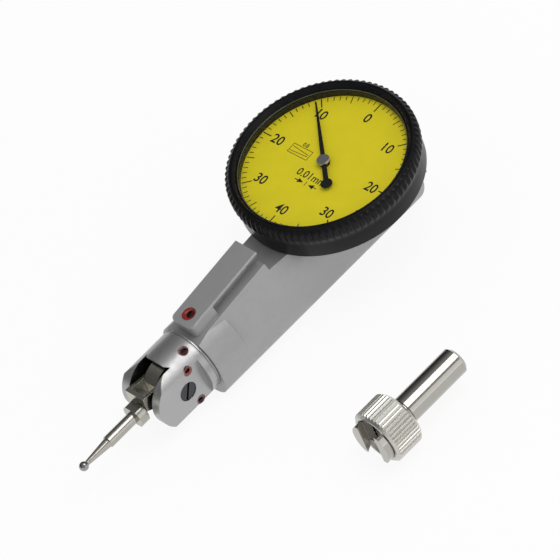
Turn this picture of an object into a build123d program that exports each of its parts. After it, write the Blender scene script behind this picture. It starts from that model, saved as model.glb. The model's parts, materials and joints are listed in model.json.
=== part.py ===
from build123d import *
from math import acos, atan2, cos, degrees, hypot, pi, radians, sin, sqrt, tan
import os

# A lever-type dial test indicator and its loose stem clamp, lying on a table.
# The origin is on the table, below the dial's axis. +X runs along the body towards the dial's end,
# +Z is up and out of the dial, and the stylus points along -X.

# Driving dimensions, in millimetres and degrees

# Housing
axis_z = 8.0                  # table to the axis of the head and the rod
barrel_r = 7.85               # round front end, which bulges out of the steep sides
barrel_length = 7.7           # from the front face
housing_front = 44.1          # dial axis to the front face
housing_rear = 15.0           # dial axis to the rear face
housing_half_width = 7.9
lower_corner_r = 4.85
rear_corner_r = 2.5
seat_height = 15.83           # table to the seat under the dial
shelf_angle = 7.5             # the shelf and its rail rise towards the dial
shelf_half_width = 3.9
side_angle = 58.0             # of the steep sides beside the shelf, from level
shoulder_r = 10.0             # blends the steep sides into the upright ones
edge_break = 0.25
deck_front = 23.2             # dial axis to the step between the shelf and the seat
sleeve_cover = 0.68           # housing above the head's sleeve, at the front face
cavity_rear = 11.5            # dial axis to the rear wall of the hollow
cavity_front_gap = 3.0        # sector's arbor to the front wall of the hollow
cavity_half_width = 4.4
cavity_floor = 2.4
cavity_corner_r = 2.0

# Dovetail rails
rail_width = 6.3
rail_height = 3.25
rail_land = 0.3               # chamfer above the flank
rail_flank_angle = 60.0
rail_front = 43.0             # dial axis to the front end of the rail
rail_boss_rear = 36.9         # the boss ahead of the undercut holds the lock screw
rail_boss_corner_r = 1.2
rear_rail_height = 12.0
rear_rail_foot = 1.6          # table to the lower end of the rear rail
rail_pin_r = 0.3
rail_pin_x = 26.0

# Head
head_r = 7.3
nose_r = 6.6                  # the round front of the cheeks, seen from the side
nose_x = 52.0                 # dial axis to the middle of that round
pivot_x = 50.8                # dial axis to the axis of the lever
cheek_half_width = 5.4
cheek_shoulder = 46.2         # dial axis to the shoulder behind the flats
slot_half_width = 3.3
slot_floor = 47.5             # dial axis to the deepest point of the slot
slot_cutter_r = 7.5
collar_gap = 0.05             # between the head's collar and the housing
collar_line_depth = 0.15
collar_line_width = 0.2
collar_line_x = 44.75
head_bore_front = 49.2
sleeve_r = 5.7
sleeve_wall = 0.95
sleeve_length = 7.0
sleeve_groove_depth = 0.4
sleeve_groove_width = 1.5

# Screws of the head
pivot_screw_r = 2.05
pivot_screw_recess = 0.15
pivot_screw_turn = 28.0       # of its slot, from upright towards the dial
pivot_pin_r = 0.6
set_screw_r = 1.03
set_screw_recess = 0.2
set_screw_length = 1.3
cheek_screw_x = 49.0
cheek_screw_rise = 4.3        # above and below the head's axis
top_screw_x = 46.8
top_screw_lean = 22.7         # from upright, towards -Y
lock_screw_x = 40.8
lock_screw_r = 1.45
lock_screw_turn = 20.0        # of its slot, from +X
slot_width = 0.5
slot_depth = 0.5

# Measuring lever and stylus
drum_r = 3.0
drum_half_width = 1.75
journal_r = 1.8
journal_half_width = 3.1
horn_r = 5.6                  # the rounded top of the horn, about the lever's axis
horn_front = 4.3
horn_back = 0.4
finger_r = 0.45
finger_half_width = 0.5
finger_inset = 0.3            # the disc's edge to the line where the finger pushes
bearing_r = 1.3
bearing_length = 1.2
yoke_half_width = 2.6
yoke_plate = 0.75
yoke_r = 3.3
yoke_low = 1.2                # lever axis up to the lower front corner of the plates
yoke_high = 4.4               # lever axis up to their upper front corner
yoke_reach = 8.4              # lever axis to the front of the plates and their web
yoke_web = 1.0
tongue_r = 1.3                # hangs from the web around the thread
collar_start = 8.5            # lever axis to the back of the stylus collar
collar_length = 2.1
collar_r = 2.55
collar_flat = 2.1             # half of the width across the flats
shank_r = 1.3
shank_mid_length = 5.4        # the tapered length behind the tip
shank_mid_r = 1.05
tip_length = 1.6              # end of that taper to the centre of the ball
shank_tip_root_r = 0.6
shank_tip_r = 0.45
stylus_thread_r = 0.8
stylus_reach = 24.8           # lever axis to the centre of the ball
ball_r = 1.0

# Push rod
disc_gap = 0.25               # between the disc's edge and the head's bore
disc_thickness = 0.7
disc_x = 46.4                 # dial axis to the disc's front face
rod_r = 1.0
rod_tip_r = 0.25
bushing_r = 2.2
bushing_length = 5.0
washer_thickness = 0.3

# Gear train, from the sector to the pointer
module = 0.2
sector_teeth = 172            # in a full circle of the sector's pitch radius
sector_cut_teeth = 10
pinion_teeth = 12
wheel_teeth = 72
scale_turn_mm = 0.8           # travel of the ball for one turn of the pointer
backlash = 0.05
addendum = 0.8                # in modules
dedendum = 1.15
flank_angle = 20.0
sector_x = 12.0               # dial axis to the sector's arbor
gear_thickness = 0.4
sector_lift = 0.6             # the case's floor to the underside of each level of the movement
wheel_lift = 1.45
spring_lift = 2.05
bridge_lift = 2.75
arbor_r = 0.6
pivot_r = 0.3
jewel_r = 0.9
jewel_thickness = 0.6
arm_width = 1.8
pad_wall = 0.4                # between the arbor and the face that the rod pushes
wheel_hub_r = 1.5
wheel_rim = 1.2
wheel_spokes = 4
wheel_spoke_width = 0.9

# Bridge
bridge_thickness = 0.6
bridge_margin = 2.95          # between the bridge and the case's wall
pillar_r = 1.2
pillar_inset = 1.6            # the bridge's edge to the middle of a pillar
pillar_angles = (-30.0, -110.0, 150.0)
bridge_window_r = 4.2
bridge_window_share = 0.62    # of the bridge's radius, to the middle of a window
small_screw_turn = 35.0       # of its slot, from +X
small_screw_r = 0.55
small_head_r = 1.0
small_head_height = 0.4
small_screw_length = 2.2

# Hairspring
spring_inner_r = 1.25
spring_pitch = 0.62
spring_turns = 4.5
spring_ribbon = 0.12
spring_height = 0.4
spring_steps = 20             # straight pieces in one turn of the ribbon
collet_r = 1.1
stud_r = 0.45

# Case, bezel and dial
case_r = 18.55
case_wall = 1.0
case_floor = 1.0
case_height = 4.1
case_screw_front_y = 3.4
case_screw_rear_y = 4.0
case_window_r = 2.4
snap_wire_r = 0.25
snap_level = 1.7              # above the case's underside
bezel_wall = 0.75
bezel_gap = 0.05              # between the skirt and the case
skirt_gap = 0.2               # between the skirt and the dial seat
bezel_height = 7.9
knurl_stand = 0.65            # the skirt to the knurl's tips
knurl_depth = 0.35
knurl_count = 86
knurl_tip_share = 0.36        # of the pitch, that a tip takes
knurl_height = 3.0
rim_chamfer = 0.4
rim_step = 1.4                # knurl tip to the raised ring of the rim
rim_drop = 0.25
lip_width = 0.85              # that holds the crystal
lip_thickness = 0.4
crystal_inset = 1.4           # the skirt to the crystal's edge
crystal_thickness = 0.8
dial_depth = 1.5              # crystal to dial
dial_thickness = 0.4
dial_hole_r = 1.1
spacer_wall = 0.75
retainer_height = 0.6
retainer_wall = 0.7

# Pointer
pointer_angle = 50.4          # from +X, unloaded
pointer_inset = 1.2           # the window's edge to the pointer's tip
pointer_tail = 6.1
pointer_root_width = 1.0
pointer_tip_width = 0.3
pointer_thickness = 0.15
pointer_rise = 0.75           # dial face to the pointer's underside
counterweight_r = 1.22
hub_r = 1.35
hub_height = 0.85
hub_neck_r = 0.75
hub_neck_length = 0.25        # below the pointer
hub_edge_r = 0.12

# Loose stem clamp
stem_y = 46.7
nut_x = 35.4                  # dial axis to the middle of the nut
nut_r = 6.15
nut_width = 7.0
nut_knurl_count = 44
nut_knurl_depth = 0.3
nut_tip_share = 0.3           # of the pitch, that a tip takes
nut_chamfer = 0.7
nut_end_wall = 1.0            # that the stem comes through
nut_bore_r = 4.2
nut_mouth_r = 5.0             # cone that closes the jaws
stem_r = 3.0
stem_length = 16.4            # that stands out of the nut
stem_chamfer = 0.6
stem_neck_r = 2.6
stem_neck_length = 1.2
jaw_reach = 1.6               # jaws that stand out of the nut
jaw_groove_depth = 2.1        # from their tips, for the dovetail
jaw_r = 4.8
jaw_flat_half = 3.6
jaw_gap = 4.5                 # between the tips
jaw_saw_width = 0.8
jaw_split_depth = 8.0

# Clearances
running_gap = 0.03            # radial, between turning or sliding pieces
thread_gap = 0.03             # radial, between a screw and its hole
contact_gap = 0.03            # between pieces that push one another
room = 0.3                    # round pieces that only need to pass

# Values that follow from the driving dimensions

slope = tan(radians(shelf_angle))
shelf_height = axis_z + sleeve_r + sleeve_cover + (housing_front - deck_front) * slope
head_bore_r = sleeve_r - sleeve_wall
disc_r = head_bore_r - disc_gap
finger_height = disc_r - finger_inset
cavity_front = sector_x + cavity_front_gap
shank_mid_end = stylus_reach - tip_length
shank_end = shank_mid_end - shank_mid_length
bezel_skirt_r = case_r + bezel_gap + bezel_wall
knurl_tip_r = bezel_skirt_r + knurl_stand
crystal_r = bezel_skirt_r - crystal_inset
window_r = crystal_r - lip_width
pointer_length = window_r - pointer_inset
bridge_r = case_r - case_wall - bridge_margin
pillar_circle_r = bridge_r - pillar_inset
case_screw_circle_r = case_r - case_wall - small_head_r - room
skirt_z = seat_height + skirt_gap
rim_z = skirt_z + bezel_height
lip_z = rim_z - lip_thickness
knurl_z = lip_z - knurl_height
crystal_z = lip_z - crystal_thickness
dial_z = crystal_z - dial_depth
dial_underside = dial_z - dial_thickness
retainer_z = dial_underside - retainer_height
skirt_inner_r = bezel_skirt_r - bezel_wall
case_floor_top = seat_height + case_floor
sector_level = case_floor_top + sector_lift
wheel_level = case_floor_top + wheel_lift
spring_level = case_floor_top + spring_lift
bridge_level = case_floor_top + bridge_lift
flank_run = (rail_height - rail_land) / tan(radians(rail_flank_angle))

# One turn of the pointer sets the lever's travel, and the sector's arm follows from the gears.
lever_travel = scale_turn_mm / stylus_reach
gear_ratio = (sector_teeth / pinion_teeth) * (wheel_teeth / pinion_teeth)
sector_travel = 2 * pi / gear_ratio
rod_travel = finger_height * lever_travel
sector_arm = rod_travel / sector_travel

sector_r = module * sector_teeth / 2
pinion_r = module * pinion_teeth / 2
wheel_r = module * wheel_teeth / 2
sector_at = (-sector_x, -sector_arm)
train_step = wheel_r + pinion_r
sector_step = sector_r + pinion_r
span = hypot(*sector_at)
# The wheel's arbor lies where its distances to the pointer and to the sector's arbor both fit the gears.
along = (train_step ** 2 - sector_step ** 2 + span ** 2) / (2 * span)
across = sqrt(train_step ** 2 - along ** 2)
towards = (sector_at[0] / span, sector_at[1] / span)
wheel_at = (towards[0] * along + towards[1] * across, towards[1] * along - towards[0] * across)

pieces = {}


def keep(name, *solids):
    """Store a node made of one or more separate solids."""
    pieces[name] = solids[0] if len(solids) == 1 else Compound(children=list(solids))


def upright(r, low, high, at=(0, 0)):
    """A cylinder along Z."""
    return Pos(at[0], at[1], low) * Cylinder(r, high - low, align=(Align.CENTER, Align.CENTER, Align.MIN))


def ring(r_out, r_in, low, high, at=(0, 0)):
    """A plain ring along Z."""
    return upright(r_out, low, high, at) - upright(r_in, low - 1, high + 1, at)


def bar(r, start, end):
    """A cylinder about the head's axis, along X."""
    return Pos(start, 0, axis_z) * Rot(0, 90, 0) * upright(r, 0, end - start)


def cross_bar(r, start, end, x=-pivot_x, z=axis_z):
    """A cylinder along Y."""
    return Pos(x, start, z) * Rot(-90, 0, 0) * upright(r, 0, end - start)


def brick(x0, x1, y0, y1, z0, z1):
    """A box between two corners."""
    return Pos(x0, y0, z0) * Box(x1 - x0, y1 - y0, z1 - z0, align=(Align.MIN, Align.MIN, Align.MIN))


def both_sides(solid):
    """A solid and its mirror image across the XZ plane."""
    return [solid, mirror(solid, about=Plane.XZ)]


def outline(*points):
    """A flat face through the points, facing local +Z whichever way round they run."""
    turn = sum(a[0] * b[1] - b[0] * a[1] for a, b in zip(points, points[1:] + points[:1]))
    return Polygon(*(points if turn > 0 else points[::-1]), align=None)


def touch(r, point, side):
    """Where a straight line from a point touches a circle about the origin, on either side."""
    turn = atan2(point[1], point[0]) + side * acos(r / hypot(*point))
    return r * cos(turn), r * sin(turn)


def star(count, r_tip, r_root, tip_share):
    """The outline of a knurled wheel, with straight flanks between tips and roots."""
    pitch = 2 * pi / count
    points = []
    for k in range(count):
        middle = k * pitch
        for r, offset in ((r_root, -0.5 + tip_share / 2), (r_tip, -tip_share / 2), (r_tip, tip_share / 2)):
            angle = middle + offset * pitch
            points.append((r * cos(angle), r * sin(angle)))
    return outline(*points)


def tooth_points(pitch_r, angle):
    """The four corners of one gear tooth, from one root to the other."""
    half = (pi * module / 2 - backlash) / 2
    spread = tan(radians(flank_angle))
    low = pitch_r - dedendum * module
    high = pitch_r + addendum * module
    corners = []
    for r, side in ((low, -1), (high, -1), (high, 1), (low, 1)):
        at = half + (pitch_r - r) * spread
        turn = angle + side * at / pitch_r
        corners.append((r * cos(turn), r * sin(turn)))
    return corners


def gear_face(teeth, first_angle):
    """A full gear's outline, with one tooth centred on first_angle."""
    points = []
    for k in range(teeth):
        points += tooth_points(module * teeth / 2, first_angle + 2 * pi * k / teeth)
    return outline(*points)


def slide_section(width, height, land, run):
    """A dovetail's cross-section, standing on its foot at the local origin."""
    half = width / 2
    foot = half - run
    return outline((-foot, -room), (foot, -room), (foot, 0), (half, height - land), (half - land, height),
                   (land - half, height), (-half, height - land), (-foot, 0))


# Housing

def incline(x):
    """A plane across the shelf at x, with local Y out of the shelf and its normal towards the front."""
    height = shelf_height + (x + deck_front) * slope
    a = radians(shelf_angle)
    return Plane(origin=(x, 0, height), x_dir=(0, -1, 0), z_dir=(-cos(a), 0, -sin(a)))


def below_shelf(half, drop):
    """All that lies below the inclined shelf of this half width, with sides that fall by drop."""
    side = housing_half_width
    deep = 2 * rim_z
    face = outline((-half, 0), (half, 0), (side, -drop), (side, -deep), (-side, -deep), (-side, -drop))
    if drop > 0:
        face = fillet(face.vertices().group_by(Axis.Y)[1], shoulder_r)
        face = fillet(face.vertices().group_by(Axis.Y)[-1], edge_break)
    return extrude(incline(housing_rear + rim_z) * face, amount=housing_rear + housing_front + deep)


def housing_block():
    """The flat-sided part with its round lower corners, and the barrel at its front."""
    section = Pos(0, rim_z / 2) * Rectangle(2 * housing_half_width, rim_z)
    section = fillet(section.vertices().group_by(Axis.Y)[0], lower_corner_r)
    block = extrude(Plane.YZ.offset(-housing_front) * section, amount=housing_rear + housing_front)
    block = fillet(block.edges().filter_by(Axis.Z).group_by(Axis.X)[-1], rear_corner_r)
    drop = (housing_half_width - shelf_half_width) * tan(radians(side_angle))
    block = block & below_shelf(shelf_half_width, drop)
    barrel = bar(barrel_r, -housing_front, barrel_length - housing_front)
    return block + (barrel & below_shelf(housing_half_width, 0))


def top_rail():
    """The dovetail rail on the shelf, with the plain boss at its front end."""
    section = slide_section(rail_width, rail_height, rail_land, flank_run)
    rail = extrude(incline(room - deck_front) * section, amount=rail_boss_rear - deck_front + 2 * room)
    length = rail_front - rail_boss_rear + room
    boss = Rectangle(length, rail_width)
    boss = fillet(boss.vertices().group_by(Axis.X)[0], rail_boss_corner_r)
    a = radians(shelf_angle)
    foot = incline(-rail_boss_rear + room - length / 2).origin
    lying = Plane(origin=foot, x_dir=(cos(a), 0, sin(a)), z_dir=(-sin(a), 0, cos(a)))
    block = extrude(lying.offset(-room) * boss, amount=rail_height + room)
    block = chamfer(block.faces().sort_by(Axis.Z)[-1].edges(), rail_land)
    return rail + block


def rear_rail():
    """The upright dovetail rail on the rear face."""
    section = Rot(0, 0, -90) * slide_section(rail_width, rail_height, rail_land, flank_run)
    return Pos(housing_rear, 0, rear_rail_foot) * extrude(section, amount=rear_rail_height)


def make_housing():
    body = housing_block() + top_rail()
    # Behind the shelf all is cut down to the flat seat of the dial's case.
    body -= brick(-deck_front, 2 * housing_rear, -axis_z, axis_z, seat_height, 2 * rim_z)
    body += rear_rail()
    sleeve_end = -housing_front + sleeve_length + washer_thickness + room
    body -= bar(sleeve_r + running_gap, -housing_front - 1, sleeve_end)
    body -= bar(bushing_r, sleeve_end - 1, sleeve_end + bushing_length)
    body -= bar(rod_r + room, sleeve_end, -cavity_front + 1)
    body -= bar(bushing_r, -cavity_front - bushing_length, -cavity_front + 1)
    hollow = brick(-cavity_front, cavity_rear, -cavity_half_width, cavity_half_width, cavity_floor, rim_z)
    body -= fillet(hollow.edges().filter_by(Axis.Z), cavity_corner_r)
    body -= upright(jewel_r, cavity_floor - jewel_thickness, cavity_floor + 1, sector_at)
    body -= upright(lock_screw_r + thread_gap, axis_z, rim_z, (-lock_screw_x, 0))
    for x, y in case_screw_places():
        body -= upright(small_screw_r + thread_gap, seat_height - small_screw_length - room, rim_z, (x, y))
    pin_z = rail_top(-rail_pin_x) - rail_height / 2
    keep("housing", body - cross_bar(rail_pin_r, -rail_width, 0, -rail_pin_x, pin_z))


def rail_top(x):
    return shelf_height + (x + deck_front) * slope + rail_height / cos(radians(shelf_angle))


def case_screw_places():
    front = -sqrt(case_screw_circle_r ** 2 - case_screw_front_y ** 2)
    rear = (cavity_rear + housing_rear) / 2
    pairs = ((front, case_screw_front_y), (rear, case_screw_rear_y))
    return [(x, side * y) for x, y in pairs for side in (-1, 1)]


def slotted(solid, top, at=(0, 0), turn=0.0):
    """Cut a screwdriver slot into the top of an upright screw."""
    cut = Box(4 * lock_screw_r, slot_width, slot_depth, align=(Align.CENTER, Align.CENTER, Align.MAX))
    return solid - Pos(at[0], at[1], top) * Rot(0, 0, turn) * cut


def make_lock_screw():
    """The screw in the rail's boss. Its dog point runs in the groove of the head's sleeve."""
    low = axis_z + sleeve_r - sleeve_groove_depth + running_gap
    shoulder = axis_z + sleeve_r + room
    top = rail_top(-lock_screw_x) - set_screw_recess
    at = (-lock_screw_x, 0)
    screw = upright(sleeve_groove_width / 2 - running_gap, low, shoulder, at)
    screw += upright(lock_screw_r, shoulder, top, at)
    keep("head_lock_screw", slotted(screw, top, at, lock_screw_turn))


# Head, lever and stylus

def make_head():
    body = bar(head_r, -nose_x, -housing_front - collar_gap)
    body += bar(head_r, -nose_x - nose_r, -nose_x) & cross_bar(nose_r, -head_r, head_r, -nose_x)
    for side in (-1, 1):
        inner, outer = sorted((side * cheek_half_width, side * (head_r + 1)))
        body -= brick(-pivot_x - head_r - 1, -cheek_shoulder, inner, outer, 0, 2 * axis_z)
    body += bar(sleeve_r, -housing_front - 1, -housing_front + sleeve_length)
    body -= bar(head_bore_r, -head_bore_front, -housing_front + sleeve_length + 1)
    cutter_x = -slot_floor - slot_cutter_r
    body -= cross_bar(slot_cutter_r, -slot_half_width, slot_half_width, cutter_x)
    body -= brick(-pivot_x - 2 * head_r, cutter_x, -slot_half_width, slot_half_width, 0, 2 * axis_z)
    line = bar(head_r + 1, -collar_line_x, collar_line_width - collar_line_x)
    body -= line - bar(head_r - collar_line_depth, -collar_line_x - 1, 1 - collar_line_x)
    start = -lock_screw_x - sleeve_groove_width / 2
    groove = bar(sleeve_r + 1, start, start + sleeve_groove_width)
    body -= groove - bar(sleeve_r - sleeve_groove_depth, start - 1, start + sleeve_groove_width + 1)
    body -= cross_bar(pivot_screw_r + thread_gap, -head_r, head_r)
    for x, rise in cheek_screw_places():
        body -= cross_bar(set_screw_r + thread_gap, -head_r, -slot_half_width - room, x, axis_z + rise)
    body -= top_screw_place() * upright(set_screw_r + thread_gap, head_bore_r + room, head_r + 1)
    keep("head", body)


def cheek_screw_places():
    return [(-cheek_screw_x, side * cheek_screw_rise) for side in (-1, 1)]


def top_screw_place():
    """Where local Z runs out of the head's axis through the upper set screw."""
    return Pos(-top_screw_x, 0, axis_z) * Rot(top_screw_lean, 0, 0)


def pivot_screw():
    """The screw of the -Y cheek, with the pin that carries the lever."""
    low = -cheek_half_width + pivot_screw_recess
    tip = -journal_half_width + bearing_length - contact_gap
    screw = cross_bar(pivot_screw_r, low, -slot_half_width)
    cut = Box(slot_width, 2 * slot_depth, 4 * pivot_screw_r)
    cut = Pos(-pivot_x, low, axis_z) * Rot(0, pivot_screw_turn, 0) * cut
    return screw - cut + cross_bar(pivot_pin_r, -slot_half_width - contact_gap, tip)


def make_head_screws():
    keep("pivot_screws", *both_sides(pivot_screw()))
    screws = []
    low = -cheek_half_width + set_screw_recess
    for x, rise in cheek_screw_places():
        z = axis_z + rise
        screw = cross_bar(set_screw_r, low, -slot_half_width - room, x, z)
        cut = Box(4 * set_screw_r, 2 * slot_depth, slot_width)
        screws.append(screw - Pos(x, low, z) * cut)
    top = sqrt(head_r ** 2 - set_screw_r ** 2) - set_screw_recess
    screws.append(top_screw_place() * slotted(upright(set_screw_r, top - set_screw_length, top), top))
    keep("head_set_screws", *screws)


def washer_start():
    return -housing_front + sleeve_length + contact_gap


def make_swivel_washer():
    """The friction washer between the sleeve's end and the housing."""
    start = washer_start()
    washer = bar(sleeve_r - room, start, start + washer_thickness)
    keep("swivel_washer", washer - bar(bushing_r + room, start - 1, start + washer_thickness + 1))


def make_lever():
    """The drum between the yoke's plates, with its upright horn and the finger that pushes the rod."""
    drum = cross_bar(drum_r, -drum_half_width, drum_half_width)
    drum += cross_bar(journal_r, -journal_half_width, journal_half_width)
    horn = brick(-pivot_x - horn_front, horn_back - pivot_x, -drum_half_width, drum_half_width,
                 axis_z, axis_z + horn_r)
    drum += horn & cross_bar(horn_r, -drum_half_width, drum_half_width)
    nose_x = -disc_x - contact_gap - finger_r
    nose_z = axis_z + finger_height
    drum += brick(-pivot_x, nose_x, -finger_half_width, finger_half_width,
                  nose_z - finger_r, nose_z + finger_r)
    drum += cross_bar(finger_r, -finger_half_width, finger_half_width, nose_x, nose_z)
    for side in (-1, 1):
        end = side * (journal_half_width + 1)
        start = side * (journal_half_width - bearing_length - contact_gap)
        drum -= cross_bar(bearing_r, min(start, end), max(start, end))
    keep("measuring_lever", drum)
    start = -journal_half_width + contact_gap
    race = cross_bar(bearing_r, start - contact_gap, start + bearing_length - contact_gap)
    race -= cross_bar(pivot_pin_r + running_gap, -head_r, 0)
    keep("lever_bearings", *both_sides(race))


def make_stylus():
    # The plates as seen from -Y, about the lever's axis: a round eye and a raised front.
    low = (-yoke_reach, yoke_low)
    high = (-yoke_reach, yoke_high)
    face = outline(touch(yoke_r, low, 1), low, high, touch(yoke_r, high, -1)) + Circle(yoke_r)
    face -= Circle(journal_r + running_gap)
    plate = extrude(Plane.XZ.offset(yoke_half_width - yoke_plate) * face, amount=yoke_plate)
    yoke = plate + mirror(plate, about=Plane.XZ)
    # The web as seen from the front, with the tongue that takes the stylus.
    face = Pos(0, (yoke_low + yoke_high) / 2) * Rectangle(2 * yoke_half_width, yoke_high - yoke_low)
    face += Pos(0, yoke_high / 2) * Rectangle(2 * tongue_r, yoke_high) + Circle(tongue_r)
    face -= Circle(stylus_thread_r + thread_gap)
    yoke += extrude(Plane.YZ.offset(-yoke_reach) * face, amount=yoke_web)
    at = Pos(-pivot_x, 0, axis_z)
    keep("stylus_yoke", at * yoke)

    # The turned shank as distance from the lever's axis and radius, from the thread to the ball.
    collar_end = collar_start + collar_length
    thread_end = yoke_reach - yoke_web - room
    turned = [
        (thread_end, 0), (thread_end, stylus_thread_r), (collar_start, stylus_thread_r),
        (collar_start, collar_r), (collar_end, collar_r), (collar_end, shank_r), (shank_end, shank_r),
        (shank_end + shank_r - shank_mid_r, shank_mid_r), (shank_mid_end, shank_tip_root_r),
        (stylus_reach, shank_tip_r), (stylus_reach, 0),
    ]
    shank = revolve(Plane.XZ * outline(*[(-x, r) for x, r in turned]), axis=Axis.X)
    for side in (-1, 1):
        low, high = sorted((side * collar_flat, side * 2 * collar_r))
        shank -= brick(-collar_end, -collar_start, -collar_r, collar_r, low, high)
    # The ball's poles lie on the shank's line.
    ball = Rot(0, 90, 0) * Sphere(ball_r)
    ball = Pos(-stylus_reach, 0, 0) * ball
    keep("stylus_shank", at * (shank - ball))
    keep("stylus_ball", at * ball)


# Push rod and gear train

def make_push_rod():
    # The rear end is a blunt cone, so that the sector's pad can tilt on it.
    rod_end = sector_x + arbor_r + pad_wall + contact_gap
    front = disc_x - disc_thickness / 2
    turned = [(front, 0), (front, rod_r), (rod_end + rod_r, rod_r), (rod_end, rod_tip_r), (rod_end, 0)]
    rod = revolve(Plane.XZ * outline(*[(-x, r) for x, r in turned]), axis=Axis.X)
    rod = Pos(0, 0, axis_z) * rod
    keep("push_rod", rod)
    keep("rod_disc", bar(disc_r, -disc_x, -disc_x + disc_thickness) - rod)
    sleeve_end = -housing_front + sleeve_length + washer_thickness + room
    bushings = []
    for start in (sleeve_end, -cavity_front - bushing_length):
        solid = bar(bushing_r, start, start + bushing_length)
        bushings.append(solid - bar(rod_r + running_gap, start - 1, start + bushing_length + 1))
    keep("rod_bushings", *bushings)


def arbor(at, low, high, shoulder_low, shoulder_high, r=arbor_r):
    """A vertical arbor with a thin pivot at each end."""
    return upright(pivot_r, low, high, at) + upright(r, shoulder_low, shoulder_high, at)


def make_sector():
    """The sector lever: a short arm below that the rod pushes, and a toothed arm above."""
    low = cavity_floor - jewel_thickness + contact_gap
    top = bridge_level + bridge_thickness - contact_gap
    body = arbor(sector_at, low, top, cavity_floor + contact_gap, bridge_level - contact_gap)
    keep("sector_arbor", body)

    # The pad's face is on the rod's line, one sector_arm away from the arbor.
    pad_x = -sector_x - arbor_r - pad_wall
    pad = brick(pad_x, pad_x + 1, sector_at[1], rod_r, axis_z - rod_r, axis_z + rod_r)
    pad += upright(arbor_r + rod_r, axis_z - rod_r, axis_z + rod_r, sector_at)
    pad &= brick(pad_x, 0, -barrel_r, barrel_r, 0, 2 * axis_z)
    pad -= upright(arbor_r, 0, rim_z, sector_at)
    keep("sector_pad", pad)

    heading = atan2(wheel_at[1] - sector_at[1], wheel_at[0] - sector_at[0])
    pitch = 2 * pi / sector_teeth
    points = []
    for k in range(sector_cut_teeth):
        points += tooth_points(sector_r, (k - sector_cut_teeth / 2 + 1) * pitch)
    inner = sector_r - 2 * arm_width
    points += [(inner, arm_width / 2), (0, arm_width / 2), (0, -arm_width / 2), (inner, -arm_width / 2)]
    blade = extrude(outline(*points), amount=gear_thickness)
    blade += upright(wheel_hub_r, 0, gear_thickness) - upright(arbor_r, -1, 1)
    blade -= upright(arbor_r, -1, 1)
    place = Pos(sector_at[0], sector_at[1], sector_level) * Rot(0, 0, degrees(heading))
    keep("sector_blade", place * blade)


def make_wheel():
    """The intermediate pinion and the wheel on it."""
    to_sector = atan2(sector_at[1] - wheel_at[1], sector_at[0] - wheel_at[0])
    to_centre = atan2(-wheel_at[1], -wheel_at[0])
    gap_first = to_sector + pi / pinion_teeth
    height = wheel_level - sector_level - contact_gap + gear_thickness / 2
    pinion = extrude(gear_face(pinion_teeth, gap_first), amount=height)
    pinion = Pos(wheel_at[0], wheel_at[1], sector_level - gear_thickness / 2) * pinion
    top = bridge_level + bridge_thickness - contact_gap
    low = case_floor_top - jewel_thickness + contact_gap
    body = arbor(wheel_at, low, top, case_floor_top + contact_gap, bridge_level - contact_gap)
    keep("intermediate_pinion", pinion + body)

    face = gear_face(wheel_teeth, to_centre)
    face -= Circle(wheel_r - dedendum * module - wheel_rim)
    face += Circle(wheel_hub_r)
    spoke = Pos(wheel_r / 2, 0) * Rectangle(wheel_r - wheel_rim, wheel_spoke_width)
    for k in range(wheel_spokes):
        face += Rot(0, 0, 360 * k / wheel_spokes) * spoke
    face -= Circle(arbor_r)
    wheel = Pos(wheel_at[0], wheel_at[1], wheel_level) * extrude(face, amount=gear_thickness)
    keep("intermediate_wheel", wheel)


def make_pointer():
    to_wheel = atan2(wheel_at[1], wheel_at[0])
    low = case_floor_top - jewel_thickness + contact_gap
    top = dial_z + pointer_rise + hub_height / 2
    body = upright(pivot_r, low, case_floor_top + room)
    body += upright(arbor_r, case_floor_top + contact_gap, bridge_level - contact_gap)
    body += upright(pivot_r, bridge_level - room, top)
    pinion = extrude(gear_face(pinion_teeth, to_wheel + pi / pinion_teeth), amount=2 * gear_thickness)
    body += Pos(0, 0, wheel_level - gear_thickness / 2) * pinion
    keep("pointer_arbor", body)
    keep("spring_collet", ring(collet_r, arbor_r, spring_level, spring_level + spring_height))

    needle = outline((0, pointer_root_width / 2), (0, -pointer_root_width / 2),
                     (pointer_length, -pointer_tip_width / 2), (pointer_length, pointer_tip_width / 2))
    tail = Pos(-pointer_tail / 2, 0) * Rectangle(pointer_tail, pointer_root_width)
    weight = Pos(-pointer_tail, 0) * Circle(counterweight_r)
    face = needle + tail + weight + Circle(hub_r) - Circle(hub_neck_r)
    level = dial_z + pointer_rise
    keep("pointer", Pos(0, 0, level) * Rot(0, 0, pointer_angle) * extrude(face, amount=pointer_thickness))
    start = level - hub_neck_length
    hub = upright(hub_neck_r, start, start + hub_height)
    hub += upright(hub_r, level + pointer_thickness, start + hub_height)
    hub = fillet(hub.edges().filter_by(GeomType.CIRCLE).sort_by(Axis.Z)[-1], hub_edge_r)
    keep("pointer_hub", hub - upright(pivot_r, 0, top))


def make_jewels():
    """Bearing rings in the housing, the case and the bridge."""
    low = cavity_floor - jewel_thickness
    middle = case_floor_top - jewel_thickness
    places = [(low, sector_at), (middle, wheel_at), (middle, (0, 0))]
    places += [(bridge_level, at) for at in (sector_at, wheel_at, (0, 0))]
    rings = [ring(jewel_r, pivot_r + running_gap, z, z + jewel_thickness, at) for z, at in places]
    keep("bearing_jewels", *rings)


def pillar_places():
    turns = [radians(angle) for angle in pillar_angles]
    return [(pillar_circle_r * cos(turn), pillar_circle_r * sin(turn)) for turn in turns]


def stud_place():
    """The hairspring's outer end."""
    turn = 2 * pi * spring_turns
    r = spring_inner_r + spring_pitch * spring_turns
    return (r + stud_r) * cos(turn), (r + stud_r) * sin(turn)


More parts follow.
